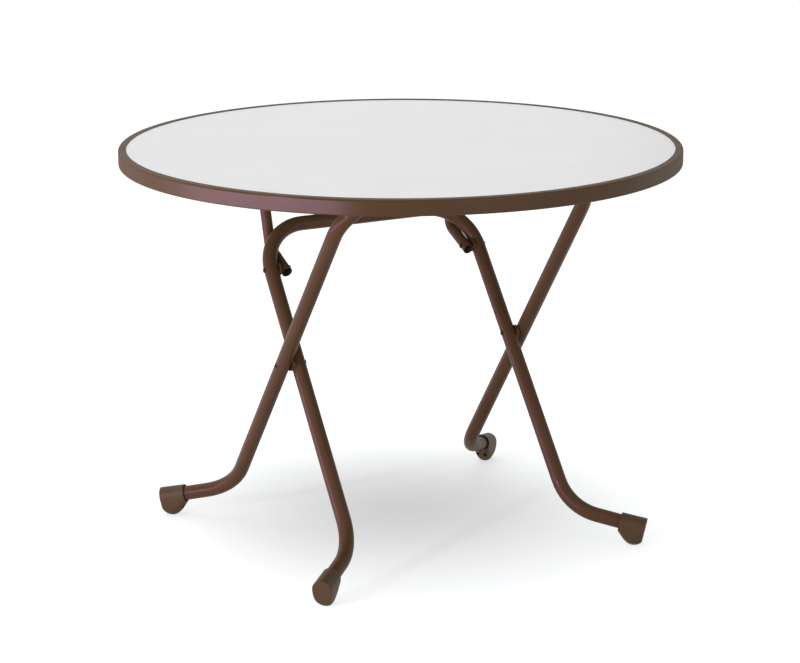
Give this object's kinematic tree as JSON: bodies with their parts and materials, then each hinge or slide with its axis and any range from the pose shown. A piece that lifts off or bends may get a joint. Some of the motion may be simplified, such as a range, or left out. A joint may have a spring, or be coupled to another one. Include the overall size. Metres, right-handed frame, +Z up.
{
  "type": "folding card table",
  "caption": "Round folding card table: a pale top in a brown metal rim on crossed bent-tube frames with moulded foot caps and a toggle hoop.",
  "frame": {"origin": "on the floor under the centre of the round top", "axes": "+Z up; +X along the tube crossbars, to the right seen from the front; +Y to the back, where the hoop is"},
  "size_m": [0.9998, 0.9998, 0.7142],
  "materials": {
    "laminate": "satin",
    "board": "raw chipboard",
    "backing": "matt sheet",
    "rim_paint": "gloss enamel",
    "tube_paint": "gloss enamel",
    "cap_plastic": "satin moulded",
    "black_plastic": "matt moulded",
    "bolt_steel": "black oxide",
    "zinc": "zinc plated"
  },
  "bodies": {
    "tabletop": {"table_board": "board", "backing_sheet": "backing", "top_laminate": "laminate", "edge_rim": "rim_paint", "rim_clips": "zinc", "rim_clip_screws": "zinc", "front_saddle_left": "black_plastic", "front_saddle_right": "black_plastic", "front_saddle_screws": "zinc", "rear_bearing_block_left": "black_plastic", "rear_bearing_block_right": "black_plastic", "rear_bearing_strap_left": "zinc", "rear_bearing_strap_right": "zinc", "rear_bearing_screws": "zinc"},
    "support_hoop": {"support_hoop_tube": "tube_paint"},
    "inner_frame": {"inner_frame_tube": "tube_paint", "foot_cap_front_left": "cap_plastic", "foot_cap_front_right": "cap_plastic", "hoop_bolts": "bolt_steel", "hoop_nuts": "bolt_steel", "hoop_spacers": "tube_paint", "scissor_bolts": "bolt_steel", "scissor_nuts": "bolt_steel", "scissor_spacers": "tube_paint"},
    "outer_frame": {"outer_frame_tube": "tube_paint", "foot_cap_back_left": "cap_plastic", "foot_cap_back_right": "cap_plastic"}
  },
  "joints": [
    {"name": "hoop_hinge", "type": "hinge", "parent": "tabletop", "child": "support_hoop", "pos_m": [0, 0.19201, 0.6847], "axis": [-1, 0, 0], "range_deg": [0, 60.3]},
    {"name": "knee_hinge", "type": "hinge", "parent": "support_hoop", "child": "inner_frame", "pos_m": [0, 0.09155, 0.4904], "axis": [1, 0, 0], "range_deg": [0, 181.65]},
    {"name": "scissor_hinge", "type": "hinge", "parent": "inner_frame", "child": "outer_frame", "pos_m": [0, -0.016, 0.34319], "axis": [-1, 0, 0], "range_deg": [0, 70.5]}
  ],
  "couplings": [
    {"joint": "hoop_hinge", "follows": "knee_hinge", "ratio": 0.33163},
    {"joint": "scissor_hinge", "follows": "knee_hinge", "ratio": 0.3876}
  ]
}
